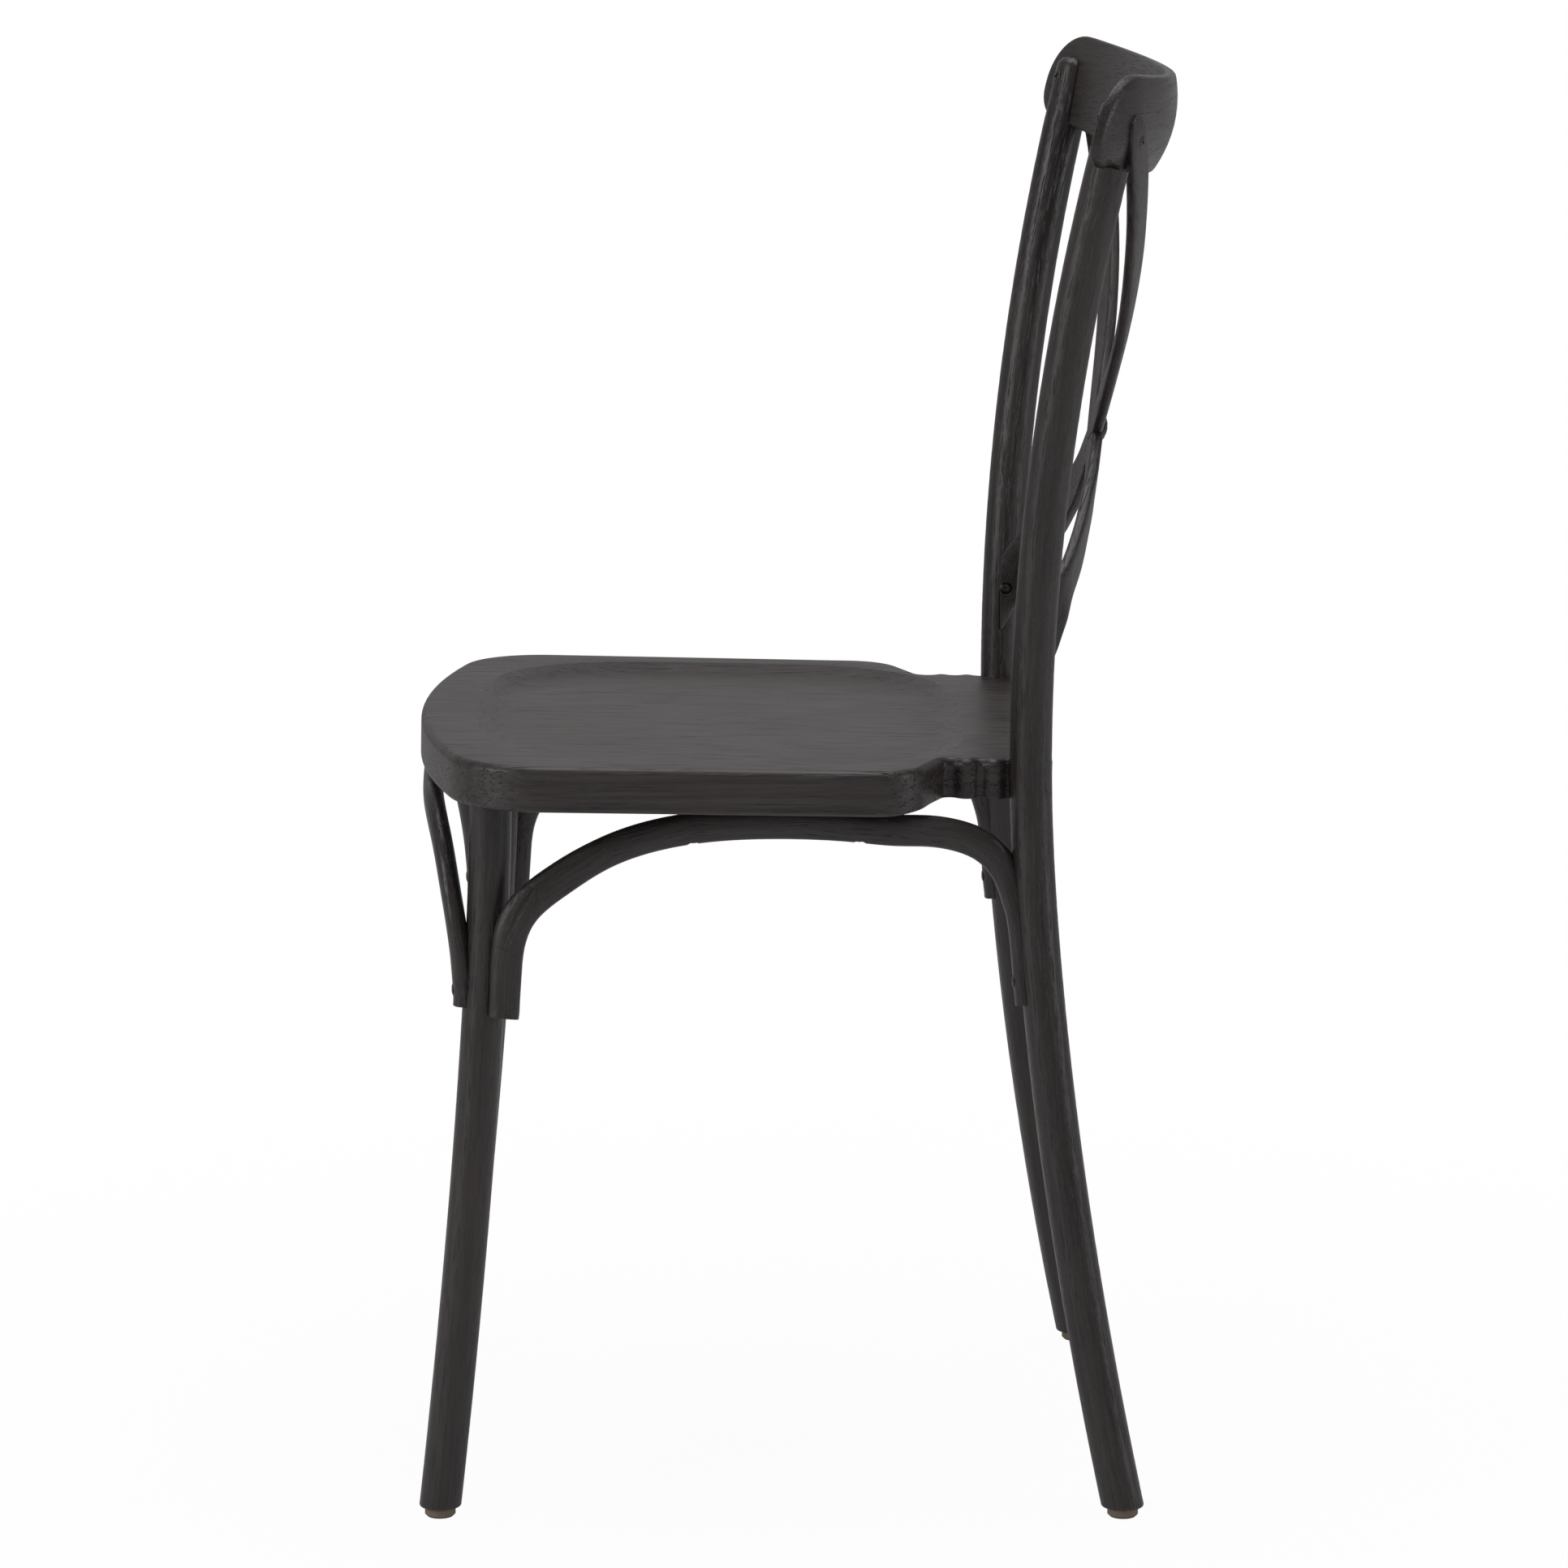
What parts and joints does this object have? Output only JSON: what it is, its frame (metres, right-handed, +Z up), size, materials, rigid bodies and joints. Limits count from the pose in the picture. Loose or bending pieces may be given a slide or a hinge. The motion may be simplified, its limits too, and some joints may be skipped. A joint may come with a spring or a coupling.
{
  "type": "cross back chair",
  "caption": "Armless side chair with a crossed slat back, bent top rail, splayed round legs, bentwood bows under a dished seat, and a dark satin finish",
  "frame": {"origin": "middle of the bounding box in X and Y, on the floor", "axes": "+X to the sitter's left, +Y to the back of the chair, +Z up"},
  "size_m": [0.4354, 0.475, 0.8849],
  "materials": {
    "stained_wood": "near-black stain, satin lacquer, fine grain",
    "dark_screw": "blackened, satin",
    "zinc_steel": "zinc plated",
    "insert_brass": "plain",
    "glide_fibre": "pressed fibre, matt"
  },
  "bodies": {
    "root": {"seat_panel": "stained_wood", "left_front_leg": "stained_wood", "right_front_leg": "stained_wood", "left_back_post": "stained_wood", "right_back_post": "stained_wood", "left_side_bow": "stained_wood", "right_side_bow": "stained_wood", "front_bow": "stained_wood", "top_rail": "stained_wood", "left_cross_slat": "stained_wood", "right_cross_slat": "stained_wood", "crossing_boss": "stained_wood", "bolt_cover_plugs": "stained_wood", "crossing_screw": "dark_screw", "rail_screws": "dark_screw", "slat_top_screws": "dark_screw", "slat_foot_screws": "dark_screw", "side_bow_leg_screws": "dark_screw", "side_bow_post_screws": "dark_screw", "side_bow_seat_screws": "dark_screw", "front_bow_leg_screws": "dark_screw", "front_bow_seat_screws": "dark_screw", "seat_bolts": "zinc_steel", "bolt_washers": "zinc_steel", "glide_nails": "zinc_steel", "seat_inserts": "insert_brass", "left_front_glide": "glide_fibre", "right_front_glide": "glide_fibre", "left_back_glide": "glide_fibre", "right_back_glide": "glide_fibre"}
  },
  "joints": []
}
